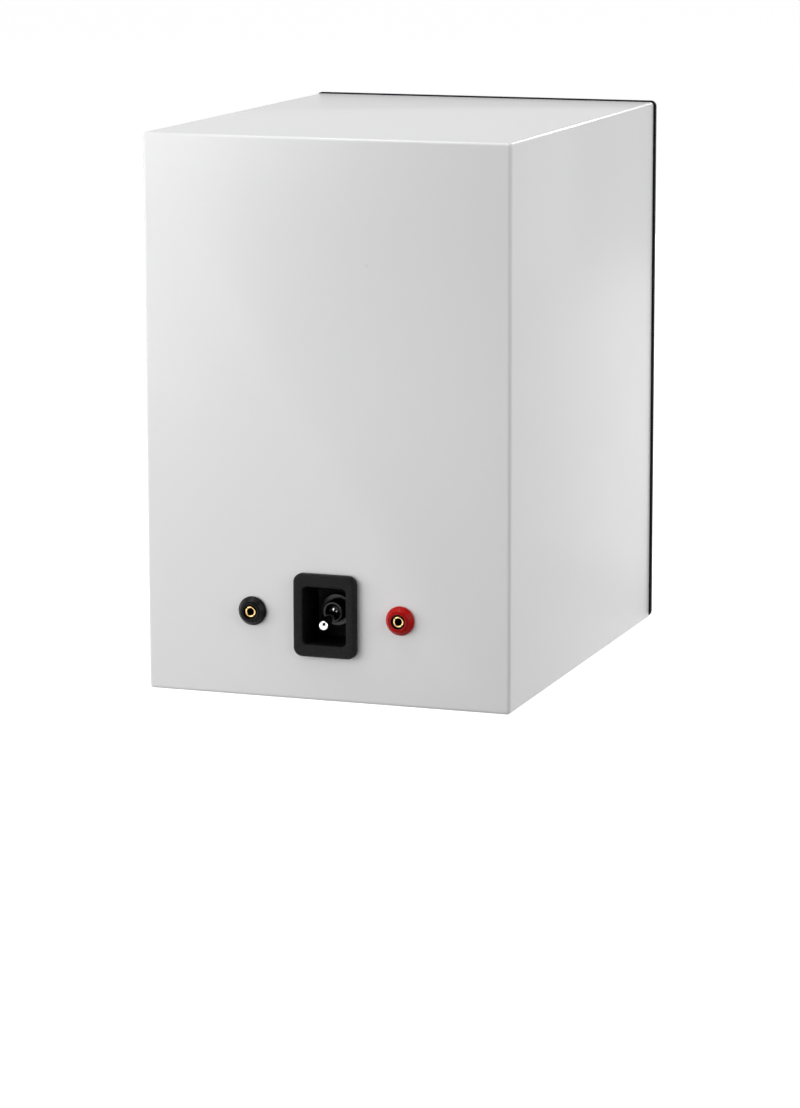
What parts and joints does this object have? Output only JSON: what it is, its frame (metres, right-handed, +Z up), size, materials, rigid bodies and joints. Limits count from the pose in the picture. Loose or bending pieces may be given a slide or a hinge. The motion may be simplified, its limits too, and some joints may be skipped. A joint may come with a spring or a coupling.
{
  "type": "bookshelf speaker",
  "caption": "Sealed bookshelf loudspeaker: white lacquered cabinet, pull-off black cloth grille, woofer, dome tweeter, recessed rear toggle switch and rear plug sockets.",
  "frame": {"origin": "middle of the underside of the cabinet, half way along the depth of its white box", "axes": "+Z up, -Y out of the grille, +Y out of the rear face with the sockets, +X towards the black socket"},
  "size_m": [0.2074, 0.2814, 0.3027],
  "materials": {
    "white_lacquer": "satin white lacquer over fibreboard, seamless, edges just rounded",
    "black_cloth": "fine black acoustic knit, matt",
    "black_frame_plastic": "satin black moulded plastic",
    "black_rubber": "soft matt black rubber",
    "cast_basket": "black powder coat on die-cast metal",
    "cone_pulp": "coated paper pulp, dark grey",
    "spider_fabric": "resin-dipped corrugated cloth",
    "copper_winding": "enamelled copper wire in close turns",
    "plated_steel": "zinc plated steel",
    "black_screw": "black oxide steel",
    "ferrite": "ground dark grey ferrite",
    "silk_dome": "coated black silk, slight sheen",
    "cup_plastic": "finely grained black plastic",
    "black_plastic": "smooth black plastic",
    "red_plastic": "smooth red plastic",
    "gold_plate": "gold plate on brass",
    "chrome": "bright plated metal",
    "black_nickel": "dark plated metal",
    "circuit_board": "green glass-fibre board",
    "capacitor_film": "yellow film wrap",
    "resistor_ceramic": "off-white cement",
    "wadding": "loose white polyester fibre",
    "lead_sleeve": "soft black insulation"
  },
  "bodies": {
    "cabinet": {"acoustic_wadding": "wadding", "bass_coil": "copper_winding", "black_socket": "black_plastic", "black_socket_lead": "lead_sleeve", "black_socket_nut": "plated_steel", "black_socket_tube": "gold_plate", "bottom_panel": "white_lacquer", "capacitor_1": "capacitor_film", "capacitor_2": "capacitor_film", "crossover_board": "circuit_board", "front_baffle": "white_lacquer", "grille_cup_1": "black_rubber", "grille_cup_2": "black_rubber", "grille_cup_3": "black_rubber", "grille_cup_4": "black_rubber", "left_panel": "white_lacquer", "rear_panel": "white_lacquer", "red_socket": "red_plastic", "red_socket_lead": "lead_sleeve", "red_socket_nut": "plated_steel", "red_socket_tube": "gold_plate", "resistor": "resistor_ceramic", "right_panel": "white_lacquer", "switch_body": "black_plastic", "switch_bushing": "black_nickel", "switch_cup": "cup_plastic", "switch_lead": "lead_sleeve", "switch_nut": "black_nickel", "top_panel": "white_lacquer", "treble_coil": "copper_winding", "tweeter_faceplate": "black_frame_plastic", "tweeter_lead": "lead_sleeve", "tweeter_magnet": "ferrite", "tweeter_screw_1": "black_screw", "tweeter_screw_2": "black_screw", "tweeter_screw_3": "black_screw", "tweeter_surround": "silk_dome", "tweeter_top_plate": "plated_steel", "tweeter_yoke": "plated_steel", "woofer_basket": "cast_basket", "woofer_lead": "lead_sleeve", "woofer_magnet": "ferrite", "woofer_screw_1": "black_screw", "woofer_screw_2": "black_screw", "woofer_screw_3": "black_screw", "woofer_screw_4": "black_screw", "woofer_spider": "spider_fabric", "woofer_surround": "black_rubber", "woofer_top_plate": "plated_steel", "woofer_yoke": "plated_steel"},
    "grille": {"grille_cloth": "black_cloth", "grille_frame": "black_frame_plastic"},
    "woofer_diaphragm": {"woofer_cone": "cone_pulp", "woofer_dust_cap": "cone_pulp", "woofer_voice_coil": "copper_winding"},
    "tweeter_diaphragm": {"tweeter_dome": "silk_dome", "tweeter_voice_coil": "copper_winding"},
    "toggle": {"switch_lever": "chrome"}
  },
  "joints": [
    {"name": "grille_pull", "type": "slide", "parent": "cabinet", "child": "grille", "axis": [0, -1, 0], "range_m": [0, 0.1]},
    {"name": "woofer_stroke", "type": "slide", "parent": "cabinet", "child": "woofer_diaphragm", "axis": [0, -1, 0], "range_m": [-0.004, 0.004], "stiffness_N_per_m": 1200},
    {"name": "tweeter_stroke", "type": "slide", "parent": "cabinet", "child": "tweeter_diaphragm", "axis": [0, -1, 0], "range_m": [-0.0003, 0.0003], "stiffness_N_per_m": 1500},
    {"name": "toggle_tilt", "type": "hinge", "parent": "cabinet", "child": "toggle", "pos_m": [0, 0.1185, 0.047], "axis": [1, 0, 0], "range_deg": [0, 28]}
  ]
}
